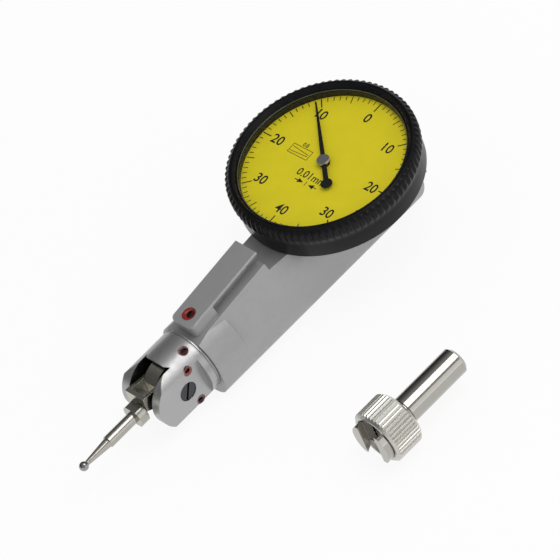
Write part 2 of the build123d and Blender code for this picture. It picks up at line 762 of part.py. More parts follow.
def make_bridge():
    plate = Circle(bridge_r)
    for k in range(3):
        angle = radians(pillar_angles[0] + 60 + 120 * k)
        at = bridge_r * bridge_window_share
        plate -= Pos(at * cos(angle), at * sin(angle)) * Circle(bridge_window_r)
    for at in (sector_at, wheel_at, (0, 0)):
        plate += Pos(*at) * Circle(2 * jewel_r)
        plate -= Pos(*at) * Circle(jewel_r)
    plate -= [Pos(*at) * Circle(small_screw_r + thread_gap) for at in pillar_places()]
    plate -= Pos(*stud_place()) * Circle(stud_r)
    keep("movement_bridge", Pos(0, 0, bridge_level) * extrude(plate, amount=bridge_thickness))
    pillars = []
    screws = []
    for at in pillar_places():
        tip = bridge_level + bridge_thickness - small_screw_length
        pillar = upright(pillar_r, case_floor_top, bridge_level, at)
        pillars.append(pillar - upright(small_screw_r + thread_gap, tip - room, rim_z, at))
        screws.append(small_screw(bridge_level + bridge_thickness, at))
    keep("bridge_pillars", *pillars)
    keep("bridge_screws", *screws)


def small_screw(seat, at):
    """A slotted cheese-head screw whose head stands on seat."""
    screw = upright(small_screw_r, seat - small_screw_length, seat, at)
    top = seat + small_head_height
    screw += upright(small_head_r, seat, top, at)
    cut = Box(3 * small_head_r, slot_width / 2, slot_depth / 2, align=(Align.CENTER, Align.CENTER, Align.MAX))
    return screw - Pos(at[0], at[1], top) * Rot(0, 0, small_screw_turn) * cut


def make_hairspring():
    """A flat spiral ribbon from the collet to the stud."""
    steps = round(spring_steps * spring_turns)
    inner = []
    outer = []
    for k in range(steps + 1):
        turn = 2 * pi * spring_turns * k / steps
        r = spring_inner_r + spring_pitch * turn / (2 * pi)
        inner.append(((r - spring_ribbon / 2) * cos(turn), (r - spring_ribbon / 2) * sin(turn)))
        outer.append(((r + spring_ribbon / 2) * cos(turn), (r + spring_ribbon / 2) * sin(turn)))
    face = outline(*(outer + inner[::-1]))
    spring = Pos(0, 0, spring_level) * extrude(face, amount=spring_height)
    at = stud_place()
    stud = upright(stud_r, spring_level, bridge_level + bridge_thickness, at)
    keep("hairspring", spring - upright(stud_r, 0, rim_z, at))
    keep("hairspring_stud", stud)


# Case and bezel

def make_case():
    """The round cup that carries the movement and closes the dial from below."""
    cup = upright(case_r, seat_height, seat_height + case_height)
    cup -= upright(case_r - case_wall, case_floor_top, rim_z)
    groove = seat_height + snap_level
    wire = snap_wire_r + running_gap
    cup -= ring(case_r + 1, case_r - snap_wire_r, groove - wire, groove + wire)
    # The sector's arbor comes up through this window.
    cup -= upright(case_window_r, 0, rim_z, sector_at)
    for at in (wheel_at, (0, 0)):
        cup -= upright(jewel_r, case_floor_top - jewel_thickness, rim_z, at)
    for at in case_screw_places():
        cup -= upright(small_screw_r + thread_gap, 0, case_floor_top + 1, at)
    keep("dial_case", cup)
    keep("case_screws", *[small_screw(case_floor_top, at) for at in case_screw_places()])
    wire_ring = ring(case_r + snap_wire_r, case_r - snap_wire_r + running_gap,
                     groove - snap_wire_r, groove + snap_wire_r)
    opening = brick(0, 2 * case_r, -snap_wire_r * 4, snap_wire_r * 4, 0, rim_z)
    keep("bezel_snap_ring", wire_ring - opening)


def make_bezel():
    step_z = retainer_z - running_gap
    groove = seat_height + snap_level
    wire = snap_wire_r + 2 * running_gap
    seat_r = crystal_r + running_gap
    seat_z = lip_z - running_gap
    root_r = knurl_tip_r - knurl_depth
    outer_ring_r = knurl_tip_r - rim_step + rim_chamfer
    inner_ring_r = knurl_tip_r - rim_step - rim_chamfer
    face_z = rim_z - rim_drop
    # Half of the turned section, as radius and height.
    section = [
        (skirt_inner_r, skirt_z), (bezel_skirt_r - rim_chamfer / 2, skirt_z),
        (bezel_skirt_r, skirt_z + rim_chamfer / 2), (bezel_skirt_r, knurl_z), (root_r, knurl_z),
        (root_r, lip_z), (outer_ring_r, rim_z), (inner_ring_r, rim_z), (inner_ring_r, face_z),
        (window_r + rim_chamfer / 2, face_z), (window_r, face_z - rim_chamfer / 4), (window_r, seat_z),
        (seat_r, seat_z), (seat_r, step_z), (skirt_inner_r, step_z),
    ]
    turned = revolve(Plane.XZ * outline(*section), axis=Axis.Z)
    band = extrude(Pos(0, 0, knurl_z) * star(knurl_count, knurl_tip_r, root_r, knurl_tip_share),
                   amount=knurl_height)
    # The knurl's tips are turned down at both ends.
    tip_r = knurl_tip_r + rim_chamfer / 4
    cone = outline((0, skirt_z), (bezel_skirt_r, knurl_z - rim_chamfer), (tip_r, knurl_z + rim_chamfer),
                   (tip_r, lip_z - rim_chamfer), (0, lip_z + knurl_tip_r))
    band &= revolve(Plane.XZ * cone, axis=Axis.Z)
    band -= upright(root_r - rim_chamfer, 0, 2 * rim_z)
    body = turned + band
    body -= ring(skirt_inner_r + wire, skirt_inner_r - 1, groove - wire, groove + wire)
    keep("bezel", body)
    keep("crystal", upright(crystal_r, crystal_z, lip_z - running_gap))
    keep("dial_spacer", ring(crystal_r, crystal_r - spacer_wall, dial_z, crystal_z))
    keep("dial_plate", ring(crystal_r, dial_hole_r, dial_underside, dial_z))
    keep("dial_retainer", ring(crystal_r, crystal_r - retainer_wall, retainer_z, dial_underside))


# Loose stem clamp

def make_clamp():
    y = -stem_y
    z = nut_r
    front = -nut_x - nut_width / 2
    back = -nut_x + nut_width / 2
    spin = Plane(origin=(0, y, z), x_dir=(1, 0, 0), z_dir=(0, -1, 0))
    line = Axis((0, y, z), (1, 0, 0))

    face = star(nut_knurl_count, nut_r, nut_r - nut_knurl_depth, nut_tip_share)
    nut = Plane(origin=(front, y, z), x_dir=(0, 1, 0), z_dir=(1, 0, 0)) * face
    nut = extrude(nut, amount=nut_width)
    rim = nut_r - nut_chamfer
    envelope = outline((front, 0), (front, rim), (front + nut_chamfer, nut_r + nut_chamfer / 9),
                       (back - nut_chamfer, nut_r + nut_chamfer / 9), (back, rim), (back, 0))
    nut &= revolve(spin * envelope, axis=line)
    wall = back - nut_end_wall
    hollow = outline((front - 1, 0), (front - 1, nut_mouth_r), (front, nut_mouth_r),
                     (front + nut_mouth_r - nut_bore_r, nut_bore_r), (wall, nut_bore_r),
                     (wall, stem_r + running_gap), (back + 1, stem_r + running_gap), (back + 1, 0))
    keep("clamp_nut", nut - revolve(spin * hollow, axis=line))

    gap = running_gap + contact_gap
    body_r = nut_bore_r - gap
    end = back + stem_length
    collet = outline((front - jaw_reach, 0), (front - jaw_reach, jaw_r), (front - gap, jaw_r),
                     (front + nut_mouth_r - nut_bore_r, body_r), (wall - gap, body_r), (wall - gap, stem_r),
                     (back, stem_r), (back, stem_neck_r), (back + stem_neck_length, stem_neck_r),
                     (back + stem_neck_length, stem_r), (end - stem_chamfer, stem_r),
                     (end, stem_r - stem_chamfer), (end, 0))
    stem = revolve(spin * collet, axis=line)
    # Flats on the jaws, above and below.
    for side in (-1, 1):
        low, high = sorted((z + side * jaw_flat_half, z + side * 2 * jaw_r))
        stem -= brick(front - jaw_reach - 1, front - gap, y - 2 * jaw_r, y + 2 * jaw_r, low, high)
    # The dovetail groove that takes the rail runs up and down between the jaws.
    tip = jaw_gap / 2
    deep = tip + jaw_groove_depth / tan(radians(rail_flank_angle))
    groove = outline((-tip, -1), (tip, -1), (tip, 0), (deep, jaw_groove_depth), (-deep, jaw_groove_depth),
                     (-tip, 0))
    lay = Plane(origin=(front - jaw_reach, y, z - 2 * jaw_r), x_dir=(0, -1, 0), z_dir=(0, 0, 1))
    stem -= extrude(lay * groove, amount=4 * jaw_r)
    stem -= brick(front - jaw_reach - 1, front - jaw_reach + jaw_split_depth, y - jaw_saw_width / 2,
                  y + jaw_saw_width / 2, z - 2 * jaw_r, z + 2 * jaw_r)
    keep("clamp_stem", stem)


make_housing()
make_lock_screw()
make_head()
make_head_screws()
make_swivel_washer()
make_lever()
make_stylus()
make_push_rod()
make_sector()
make_wheel()
make_pointer()
make_jewels()
make_bridge()
make_hairspring()
make_case()
make_bezel()
make_clamp()

os.makedirs("parts", exist_ok=True)
for name, solid in pieces.items():
    export_step(solid, f"parts/{name}.step")
    print(name, round(solid.volume, 3))
print("lever travel", round(degrees(lever_travel), 4), "sector", round(degrees(sector_travel), 4),
      "rod", round(rod_travel, 4), "arm", round(sector_arm, 4), "wheel at", wheel_at)
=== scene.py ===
import json
import math
import bpy
import bmesh
from mathutils import Matrix, Vector


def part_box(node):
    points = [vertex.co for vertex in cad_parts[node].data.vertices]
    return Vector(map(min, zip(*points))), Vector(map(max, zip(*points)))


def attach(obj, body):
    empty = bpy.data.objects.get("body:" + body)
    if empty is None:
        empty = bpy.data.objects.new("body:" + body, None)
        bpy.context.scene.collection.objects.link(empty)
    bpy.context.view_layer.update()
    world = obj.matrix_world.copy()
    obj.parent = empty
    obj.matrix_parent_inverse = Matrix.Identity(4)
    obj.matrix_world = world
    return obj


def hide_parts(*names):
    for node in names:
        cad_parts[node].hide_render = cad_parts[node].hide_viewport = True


# A dial test indicator and its loose stem clamp on a pale table, seen from above and in front.
# Lengths are in metres, or times MM. In the row's frame +X runs from the stylus to the dial, and +Z is up.

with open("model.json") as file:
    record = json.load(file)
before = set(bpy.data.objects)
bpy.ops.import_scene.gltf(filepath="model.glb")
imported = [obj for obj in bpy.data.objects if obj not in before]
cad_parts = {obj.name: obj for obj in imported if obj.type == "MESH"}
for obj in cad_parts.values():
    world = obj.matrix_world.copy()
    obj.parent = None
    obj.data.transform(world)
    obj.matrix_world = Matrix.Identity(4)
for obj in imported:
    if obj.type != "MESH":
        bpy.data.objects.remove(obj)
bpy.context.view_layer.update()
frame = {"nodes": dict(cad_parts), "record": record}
cad = frame["nodes"]
MM = 0.001


# Places that come from the frame

def middle(node):
    low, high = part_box(node)
    return (low + high) / 2


def top_of(node):
    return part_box(node)[1].z


DIAL_Z = top_of("dial_plate")
RIM_Z = top_of("bezel")
SKIRT_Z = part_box("bezel")[0].z
BEZEL_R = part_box("bezel")[1].x
AXIS_Z = middle("push_rod").z


# Shader nodes

def link(tree, a, b):
    tree.links.new(a, b)


def add(tree, kind, **values):
    """A shader node with its inputs or properties set by name."""
    node = tree.nodes.new("ShaderNode" + kind)
    for key, value in values.items():
        if key in node.inputs:
            node.inputs[key].default_value = value
        else:
            setattr(node, key, value)
    return node


def compute(tree, operation, *values):
    """The result of a maths node. Each value is a plain number or another node's output."""
    node = add(tree, "Math", operation=operation)
    for socket, value in zip(node.inputs, values):
        if isinstance(value, (int, float)):
            socket.default_value = value
        else:
            link(tree, value, socket)
    return node.outputs["Value"]


def coordinates(tree, kind):
    """The X, Y and Z outputs of one kind of coordinates."""
    coords = add(tree, "TexCoord")
    parts = add(tree, "SeparateXYZ")
    link(tree, coords.outputs[kind], parts.inputs["Vector"])
    return parts.outputs


def noise(tree, stretch, detail=2.0, roughness=0.5):
    """Noise over the object's own coordinates, with so many grains to a metre along each axis."""
    coords = add(tree, "TexCoord")
    mapping = add(tree, "Mapping")
    mapping.inputs["Scale"].default_value = stretch
    node = add(tree, "TexNoise", Scale=1.0, Detail=detail, Roughness=roughness)
    link(tree, coords.outputs["Object"], mapping.inputs["Vector"])
    link(tree, mapping.outputs["Vector"], node.inputs["Vector"])
    return node.outputs["Fac"]


def spread(tree, value, low, high, start=0.3, end=0.7):
    """Map a value to a range. Noise mostly lies between 0.3 and 0.7."""
    node = add(tree, "MapRange")
    for key, number in (("From Min", start), ("From Max", end), ("To Min", low), ("To Max", high)):
        node.inputs[key].default_value = number
    link(tree, value, node.inputs["Value"])
    return node.outputs["Result"]


def blend(tree, share, first, second, out):
    """Mix two shaders and send the result to the output node."""
    mix = add(tree, "MixShader")
    link(tree, share, mix.inputs["Fac"])
    link(tree, first, mix.inputs[1])
    link(tree, second, mix.inputs[2])
    link(tree, mix.outputs["Shader"], out.inputs["Surface"])


def grey(level):
    return level, level, level


# Materials

CLOUDS = (90, 90, 90)
PATCHES = (350, 350, 350)
SMEARS = (900, 900, 900)
BEVEL_SAMPLES = 6


def surface(name, colour, rough, metal=0.0, **sockets):
    """A principled material. Its plain values sit on the shader's own sockets."""
    mat = bpy.data.materials.new(name)
    mat.use_nodes = True
    tree = mat.node_tree
    shader = tree.nodes["Principled BSDF"]
    shader.inputs["Base Color"].default_value = (*colour, 1)
    shader.inputs["Roughness"].default_value = rough
    shader.inputs["Metallic"].default_value = metal
    for key, value in sockets.items():
        shader.inputs[key.replace("_", " ")].default_value = value
    return mat, tree, shader


def tint(tree, shader, value, colour, down, up):
    """Vary the base colour between two multiples of a colour."""
    mix = add(tree, "Mix", data_type="RGBA")
    mix.inputs["A"].default_value = (*[c * down for c in colour], 1)
    mix.inputs["B"].default_value = (*[min(1, c * up) for c in colour], 1)
    link(tree, spread(tree, value, 0, 1), mix.inputs["Factor"])
    link(tree, mix.outputs["Result"], shader.inputs["Base Color"])


def relief(tree, shader, height, depth, strength, edge):
    """Bump from a height value, over edges softened by a small radius. Both lengths are in millimetres."""
    bump = add(tree, "Bump", Strength=strength, Distance=depth * MM)
    link(tree, height, bump.inputs["Height"])
    soft = add(tree, "Bevel", Radius=edge * MM)
    soft.samples = BEVEL_SAMPLES
    link(tree, soft.outputs["Normal"], bump.inputs["Normal"])
    link(tree, bump.outputs["Normal"], shader.inputs["Normal"])


def satin(name, level, rough, metal, grain=9000.0, depth=0.002, edge=0.16):
    """Satin chrome over a blasted surface: fine grain, faint clouds and small changes of gloss."""
    mat, tree, shader = surface(name, grey(level), rough, metal)
    tint(tree, shader, noise(tree, CLOUDS, 3), grey(level), 0.96, 1.04)
    link(tree, spread(tree, noise(tree, SMEARS, 4), rough - 0.04, rough + 0.05), shader.inputs["Roughness"])
    relief(tree, shader, noise(tree, grey(grain), 3, 0.6), depth, 0.5, edge)
    return mat


def turned(name, colour, rough, along=(14000, 60, 60), depth=0.0002, edge=0.05):
    """Ground or turned metal, with fine lines across the long axis."""
    mat, tree, shader = surface(name, colour, rough, 1.0)
    lines = noise(tree, along, 4, 0.7)
    tint(tree, shader, lines, colour, 0.92, 1.06)
    link(tree, spread(tree, lines, rough - 0.03, rough + 0.05), shader.inputs["Roughness"])
    if depth:
        relief(tree, shader, lines, depth, 0.3, edge)
    return mat


def coated(name, colour, rough, grain=5000.0, depth=0.003, edge=0.1, vary=0.25, **sockets):
    """Lacquer, anodising or ink: fine grain and slow changes of gloss."""
    mat, tree, shader = surface(name, colour, rough, 0.0, **sockets)
    patches = noise(tree, PATCHES, 4)
    tint(tree, shader, patches, colour, 1 - vary, 1 + vary)
    link(tree, spread(tree, patches, rough - 0.05, rough + 0.06), shader.inputs["Roughness"])
    relief(tree, shader, noise(tree, grey(grain), 3), depth, 0.4, edge)
    return mat


def clear(name):
    """Thin clear crystal: it lets light straight through and reflects a small share."""
    mat = bpy.data.materials.new(name)
    mat.use_nodes = True
    tree = mat.node_tree
    tree.nodes.clear()
    through = add(tree, "BsdfTransparent", Color=(0.985, 0.99, 0.985, 1))
    gloss = add(tree, "BsdfGlossy", Roughness=0.02, Color=(1, 1, 1, 1))
    # The share that is reflected grows towards a grazing view, and is the same from inside the crystal.
    facing = add(tree, "LayerWeight", Blend=0.5).outputs["Facing"]
    share = compute(tree, "MULTIPLY_ADD", compute(tree, "POWER", facing, 5.0), 0.5, 0.012)
    blend(tree, share, through.outputs["BSDF"], gloss.outputs["BSDF"], add(tree, "OutputMaterial"))
    return mat


# The slot in the head, which a round cutter left, and the painted shade on its walls
SLOT_HALF_WIDTH = 3.3 * MM
SLOT_CUTTER_X = -55.0 * MM
SLOT_CUTTER_R = 7.5 * MM
# Painted shade: the slot's walls are coloured this dark to stand in for the shade inside the slot.
SLOT_SHADE_COLOUR = (0.03, 0.03, 0.027, 1)


def slot_shade_mask(tree):
    """1 on the walls of the head's slot, where shade is painted, and 0 elsewhere."""
    at = coordinates(tree, "Object")
    between = compute(tree, "LESS_THAN", compute(tree, "ABSOLUTE", at["Y"]), SLOT_HALF_WIDTH + 0.02 * MM)
    flat = add(tree, "CombineXYZ")
    link(tree, compute(tree, "MAXIMUM", at["X"], SLOT_CUTTER_X), flat.inputs["X"])
    link(tree, at["Z"], flat.inputs["Z"])
    away = add(tree, "VectorMath", operation="DISTANCE")
    link(tree, flat.outputs["Vector"], away.inputs[0])
    away.inputs[1].default_value = (SLOT_CUTTER_X, 0, AXIS_Z)
    cut = compute(tree, "LESS_THAN", away.outputs["Value"], SLOT_CUTTER_R + 0.03 * MM)
    return compute(tree, "MULTIPLY", between, cut)


def paint_slot_shade(mat):
    """Paint shade onto the walls of the head's slot."""
    tree = mat.node_tree
    colour = tree.nodes["Principled BSDF"].inputs["Base Color"]
    mix = add(tree, "Mix", data_type="RGBA")
    link(tree, slot_shade_mask(tree), mix.inputs["Factor"])
    link(tree, colour.links[0].from_socket, mix.inputs["A"])
    mix.inputs["B"].default_value = SLOT_SHADE_COLOUR
    link(tree, mix.outputs["Result"], colour)
    return mat


LACQUER = {"grain": 900.0, "depth": 0.02, "edge": 0.04}
LOOKS = {
    "satin_chrome": satin("satin_chrome", 0.39, 0.5, 0.6),
    # The walls of the head's slot get painted shade.
    "head_chrome": paint_slot_shade(satin("head_chrome", 0.42, 0.36, 0.85, grain=14000.0, depth=0.001)),
    "steel": turned("steel", (0.43, 0.415, 0.385), 0.12),
    "shank_steel": turned("shank_steel", (0.42, 0.405, 0.365), 0.2),
    "tool_steel": turned("tool_steel", (0.46, 0.44, 0.38), 0.24, edge=0.08),
    "nickel": turned("nickel", (0.6, 0.585, 0.545), 0.36, along=(60, 900, 900), depth=0.0),
    "carbide": turned("carbide", (0.34, 0.34, 0.35), 0.1),
    "dark_steel": turned("dark_steel", (0.07, 0.07, 0.075), 0.35),
    "spring_steel": turned("spring_steel", (0.5, 0.5, 0.51), 0.3),
    "brass": turned("brass", (0.8, 0.6, 0.27), 0.3, along=(2500, 2500, 2500)),
    "hairspring": turned("hairspring", (0.75, 0.47, 0.22), 0.3),
    "ruby": coated("ruby", (0.6, 0.02, 0.08), 0.1),
    "sealed_screw": coated("sealed_screw", (0.02, 0.005, 0.004), 0.5, edge=0.05, Specular_IOR_Level=0.3),
    "old_lacquer": coated("old_lacquer", (0.09, 0.008, 0.006), 0.2, **LACQUER, Coat_Weight=0.5),
    "lacquer": coated("lacquer", (0.2, 0.008, 0.006), 0.14, **LACQUER, Coat_Weight=0.8),
    "case_black": coated("case_black", (0.01, 0.01, 0.011), 0.4, Specular_IOR_Level=0.3),
    "bezel_black": coated("bezel_black", (0.006, 0.006, 0.007), 0.32, edge=0.08, Specular_IOR_Level=0.14),
    "dial_yellow": coated("dial_yellow", (0.68, 0.57, 0.014), 0.6, depth=0.001, edge=0.02, vary=0.02,
                          Specular_IOR_Level=0.1),
    "ink": coated("ink", (0.02, 0.019, 0.012), 0.6, edge=0.01, Specular_IOR_Level=0.2),
    "sealant": coated("sealant", (0.1, 0.105, 0.065), 0.3, edge=0.02),
    "pointer_black": coated("pointer_black", (0.008, 0.008, 0.008), 0.4, edge=0.03, Specular_IOR_Level=0.2),
    "crystal": clear("crystal"),
}
SLOT_OF = {part["node"]: part["material_slot"] for part in frame["record"]["subparts"]}
# Nodes that look a little different from the rest of their slot
LOOK_OF = {
    "pointer_hub": "spring_steel", "measuring_lever": "tool_steel", "stylus_yoke": "tool_steel",
    "stylus_shank": "shank_steel",
}


def dress(obj, look):
    obj.data.materials.clear()
    obj.data.materials.append(LOOKS[look])


for name, obj in cad.items():
    dress(obj, LOOK_OF.get(name, SLOT_OF[name]))


# Pieces

def piece(name, mesh, look, body):
    """A new piece that rides on a body."""
    obj = bpy.data.objects.new(name, mesh)
    bpy.context.scene.collection.objects.link(obj)
    dress(obj, look)
    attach(obj, body)
    return obj


def mesh_of(name, verts, faces, smooth=False):
    mesh = bpy.data.meshes.new(name)
    mesh.from_pydata(verts, [], faces)
    mesh.validate()
    for face in mesh.polygons:
        face.use_smooth = smooth
    return mesh


def lathe(name, rings, count):
    """A closed band of quads. Each ring is a function of the angle that gives radius and height."""
    verts = []
    for ring in rings:
        for k in range(count):
            a = 2 * math.pi * k / count
            r, z = ring(a)
            verts.append((r * math.cos(a), r * math.sin(a), z))
    faces = []
    for i in range(len(rings)):
        j = (i + 1) % len(rings)
        for k in range(count):
            m = (k + 1) % count
            faces.append((i * count + k, i * count + m, j * count + m, j * count + k))
    return mesh_of(name, verts, faces, True)


# Bezel: rounded ridges that run out into the smooth skirt, under two raised rings

RIDGES = 86
RIDGE_STEPS = 10
RIDGE_DEPTH = 0.42 * MM
RIDGE_SHARPNESS = 2.6
SKIRT_R = BEZEL_R - 0.65 * MM
TIP_R = BEZEL_R - 0.02 * MM
INNER_R = SKIRT_R - 0.75 * MM
SEAT_R = BEZEL_R - 2.02 * MM
WINDOW_R = BEZEL_R - 2.55 * MM
SEAT_Z = RIM_Z - 1.17 * MM
INNER_Z = DIAL_Z - 1.0 * MM
FULL_SWELL = 0.65
# Up the knurl, in millimetres: height over the skirt's foot, swell past the skirt, share of the grooves' depth
KNURL = (
    (3.2, 0.0, 0.0), (3.9, 0.1, 0.0), (4.3, 0.24, 0.12), (4.65, 0.42, 0.4), (5.0, 0.56, 0.7),
    (5.35, 0.63, 0.9), (5.7, FULL_SWELL, 1.0), (6.75, FULL_SWELL, 1.0), (7.0, 0.6, 1.0),
    (7.2, 0.48, 0.9), (7.36, 0.3, 0.65), (7.5, 0.06, 0.3), (7.6, -0.14, 0.08),
)
# Over the raised rings and down to the window, in millimetres: in from the bezel's outside, below its top
RAISED = (
    (1.0, 0.1), (1.1, 0.02), (1.2, 0.0), (1.32, 0.0), (1.38, 0.06), (1.4, 0.2), (1.5, 0.2), (1.52, 0.06),
    (1.58, 0.0), (1.82, 0.0), (1.92, 0.06), (2.22, 0.74), (2.28, 0.84), (2.3, 0.98), (2.4, 0.98),
    (2.42, 0.9), (2.5, 0.9), (2.54, 0.96),
)


def scallop(angle):
    """1 on a groove's floor and 0 on the crest of the ridge beside it."""
    return abs(math.sin(RIDGES * angle / 2 + math.pi / 2)) ** RIDGE_SHARPNESS


def ridge_ring(r, z, share):
    """A ring whose grooves are cut to a share of their full depth."""
    return lambda a: (r - RIDGE_DEPTH * share * scallop(a), z)


def plain_ring(r, z):
    return lambda a: (r, z)


def make_bezel():
    rings = [
        plain_ring(INNER_R, SKIRT_Z), plain_ring(SKIRT_R - 0.25 * MM, SKIRT_Z),
        plain_ring(SKIRT_R - 0.06 * MM, SKIRT_Z + 0.06 * MM), plain_ring(SKIRT_R, SKIRT_Z + 0.25 * MM),
    ]
    for height, swell, share in KNURL:
        radius = SKIRT_R + swell * MM if swell < FULL_SWELL else TIP_R
        rings.append(ridge_ring(radius, SKIRT_Z + height * MM, share))
    rings += [plain_ring(BEZEL_R - inset * MM, RIM_Z - drop * MM) for inset, drop in RAISED]
    rings += [
        plain_ring(WINDOW_R, RIM_Z - 1.08 * MM), plain_ring(WINDOW_R, SEAT_Z),
        plain_ring(SEAT_R, SEAT_Z), plain_ring(SEAT_R, INNER_Z), plain_ring(INNER_R, INNER_Z),
    ]
    mesh = lathe("bezel_ring", rings, RIDGES * RIDGE_STEPS)
    ring = piece("bezel_ring", mesh, "bezel_black", "bezel")
    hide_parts("bezel")


# The crystal lies below the raised rings, with a small bevel around its top.

CRYSTAL_LOW = RIM_Z - 1.29 * MM
CRYSTAL_TOP = RIM_Z - 1.06 * MM
CRYSTAL_R = WINDOW_R - 0.02 * MM
CRYSTAL_BEVEL = 0.08 * MM
ROUND_STEPS = 128


def make_crystal():
    core = 0.4 * MM
    rings = [
        plain_ring(core, CRYSTAL_LOW), plain_ring(CRYSTAL_R, CRYSTAL_LOW),
        plain_ring(CRYSTAL_R, CRYSTAL_TOP - CRYSTAL_BEVEL), plain_ring(CRYSTAL_R - CRYSTAL_BEVEL, CRYSTAL_TOP),
        plain_ring(core, CRYSTAL_TOP),
    ]
    disc = lathe("dial_crystal", rings, ROUND_STEPS)
    # The small tube in the middle comes out, and one face closes each side.
    bm = bmesh.new()
    bm.from_mesh(disc)
    tube = [f for f in bm.faces if max(v.co.xy.length for v in f.verts) < 2 * core]
    bmesh.ops.delete(bm, geom=tube, context="FACES")
    bmesh.ops.holes_fill(bm, edges=bm.edges, sides=0)
    bm.to_mesh(disc)
    bm.free()
    for face in disc.polygons:
        face.use_smooth = False
    glass = piece("dial_crystal", disc, "crystal", "bezel")
    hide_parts("crystal")


def make_bead():
    """A fine bead of sealant in the corner between the crystal and the ring, which catches the light."""
    outer = WINDOW_R - 0.01 * MM
    foot = CRYSTAL_TOP + 0.005 * MM
    inner = WINDOW_R - 0.2 * MM
    rings = [plain_ring(outer, RIM_Z - 0.97 * MM), plain_ring(outer, foot), plain_ring(inner, foot)]
    piece("crystal_bead", lathe("crystal_bead", rings, ROUND_STEPS), "sealant", "bezel")


make_bezel()
make_crystal()
make_bead()


# Dial print. Its own lengths are in millimetres, with (up, right) seen with the zero at the top.

ZERO = math.radians(2.0)
DIVISIONS = 80
TICK_TIP = 17.05
FIGURES = ("0", "10", "20", "30", "40", "30", "20", "10")
FIGURES_R = 13.0
FIGURE_HEIGHT = 2.25
INK_HEIGHT = 0.012
PRINT_Z = DIAL_Z + 0.006 * MM
CAPITAL_SHARE = 0.72
NARROWING = 0.93
ARROWS_UP = -5.8
PICTOGRAM = ((0.95, -9.3), (0.95, -4.1), (-1.25, -4.1), (-1.25, -9.3))
FINE_LINE = 0.12
SLAB_FACES = ((3, 2, 1, 0), (4, 5, 6, 7), (0, 1, 5, 4), (1, 2, 6, 5), (2, 3, 7, 6), (3, 0, 4, 7))


def on_dial(up, right):
    """A point of the dial, given towards the zero and to the right of it, in metres along X and Y."""
    c, s = math.cos(ZERO), math.sin(ZERO)
    return (up * c + right * s) * MM, (up * s - right * c) * MM


def slab(corners):
    """A thin closed slab over four corners in the dial's plane, as vertices and faces."""
    verts = [(x, y, z) for z in (PRINT_Z, PRINT_Z + INK_HEIGHT * MM) for x, y in corners]
    return verts, SLAB_FACES


def stroke(start, end, width):
    """A straight printed line."""
    (u0, r0), (u1, r1) = start, end
    length = math.hypot(u1 - u0, r1 - r0)
    du, dr = (r0 - r1) / length * width / 2, (u1 - u0) / length * width / 2
    return slab([on_dial(u0 + du, r0 + dr), on_dial(u0 - du, r0 - dr),
                 on_dial(u1 - du, r1 - dr), on_dial(u1 + du, r1 + dr)])


def tick(k):
    """One of the scale's lines, longer and wider at each fifth and tenth."""
    if k % 10 == 0:
        inner, width = 14.9, 0.25
    elif k % 5 == 0:
        inner, width = 15.35, 0.2
    else:
        inner, width = 16.05, 0.17
    a = 2 * math.pi * k / DIVISIONS
    return stroke((TICK_TIP * math.cos(a), TICK_TIP * math.sin(a)), (inner * math.cos(a), inner * math.sin(a)),
                  width)


def arrow(side):
    """One of the two arrows that point at a division's width."""
    tip, tail = side * 0.7, side * 2.1
    head = [on_dial(ARROWS_UP, tip), on_dial(ARROWS_UP + 0.55, tail), on_dial(ARROWS_UP, tail * 0.98),
            on_dial(ARROWS_UP - 0.55, tail)]
    return [stroke((ARROWS_UP, side * 2.95), (ARROWS_UP, side * 1.9), 0.18), slab(head[::side])]


def pictogram():
    """The frame and the two lines of the small sign beside the pointer."""
    sides = [stroke(a, b, FINE_LINE) for a, b in zip(PICTOGRAM, PICTOGRAM[1:] + PICTOGRAM[:1])]
    lines = [stroke((0.35, -9.1), (-0.1, -4.5), FINE_LINE), stroke((-0.75, -9.1), (-0.5, -4.5), FINE_LINE)]
    return sides + lines


def lettering(text, height, up, right, thick):
    """Printed figures, centred on a point of the dial, as vertices and faces."""
    curve = bpy.data.curves.new("text", "FONT")
    curve.body = text
    curve.align_x = "CENTER"
    curve.align_y = "CENTER"
    curve.size = height / CAPITAL_SHARE
    curve.offset = thick
    curve.extrude = INK_HEIGHT / 2
    curve.resolution_u = 4
    obj = bpy.data.objects.new("text", curve)
    bpy.context.scene.collection.objects.link(obj)
    graph = bpy.context.evaluated_depsgraph_get()
    mesh = bpy.data.meshes.new_from_object(obj.evaluated_get(graph))
    xs = [v.co.x for v in mesh.vertices]
    ys = [v.co.y for v in mesh.vertices]
    mid_x, mid_y = (min(xs) + max(xs)) / 2, (min(ys) + max(ys)) / 2
    verts = []
    for v in mesh.vertices:
        x, y = on_dial(up + v.co.y - mid_y, right + (v.co.x - mid_x) * NARROWING)
        verts.append((x, y, PRINT_Z + (v.co.z + INK_HEIGHT / 2) * MM))
    faces = [tuple(p.vertices) for p in mesh.polygons]
    bpy.data.objects.remove(obj)
    bpy.data.curves.remove(curve)
    bpy.data.meshes.remove(mesh)
    return verts, faces


def make_print():
    groups = [tick(k) for k in range(DIVISIONS)]
    groups += arrow(-1) + arrow(1)
    groups.append(stroke((ARROWS_UP - 0.55, 0.0), (ARROWS_UP + 0.55, 0.0), 0.13))
    groups += pictogram()
    for k, figure in enumerate(FIGURES):
        a = 2 * math.pi * k / len(FIGURES)
        groups.append(lettering(figure, FIGURE_HEIGHT, FIGURES_R * math.cos(a), FIGURES_R * math.sin(a), 0.045))
    groups.append(lettering("0.01mm", 1.8, -3.9, 0.0, 0.02))
    groups.append(lettering("0.8", 0.9, 1.7, -6.7, 0.02))
    verts, faces = [], []
    for some_verts, some_faces in groups:
        start = len(verts)
        verts += some_verts
        faces += [tuple(start + i for i in face) for face in some_faces]
    piece("dial_print", mesh_of("dial_print", verts, faces), "ink", "bezel")


make_print()


# Red sealing lacquer in the screws' recesses

